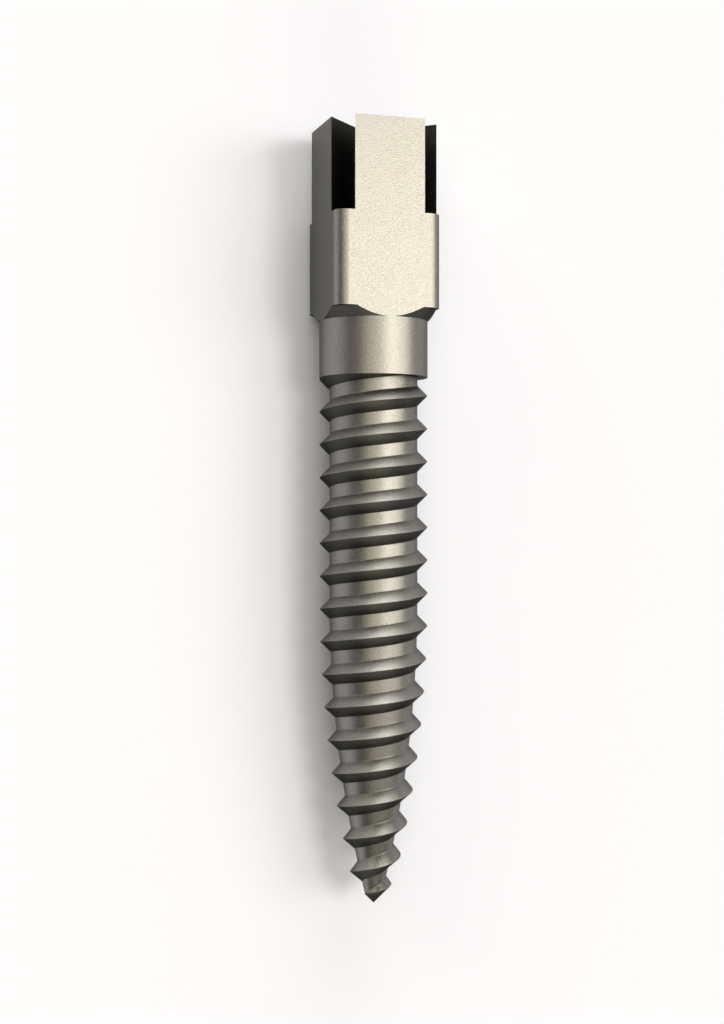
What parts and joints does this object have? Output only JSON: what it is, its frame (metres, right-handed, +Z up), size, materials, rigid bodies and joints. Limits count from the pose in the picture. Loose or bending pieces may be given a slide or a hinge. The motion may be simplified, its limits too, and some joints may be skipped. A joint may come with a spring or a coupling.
{
  "type": "dental screw post",
  "caption": "Tapered, threaded dental post with a plain collar and a square head with crossed slots, for holding a core in a treated tooth root.",
  "frame": {"origin": "centre of the box around the post at its lowest height: the middle of the flat of the head and the line of the collar and thread crests that it lies on", "axes": "+Y along the post from its tip to its head, +Z up through the upper flat of the head, +X to the right seen from above with the head away"},
  "size_m": [0.0016, 0.0118, 0.0016],
  "materials": {
    "titanium": "bare titanium alloy, milled and finely blasted, warm grey, satin, with brighter edges"
  },
  "bodies": {
    "root": {"screw_post": "titanium"}
  },
  "joints": []
}
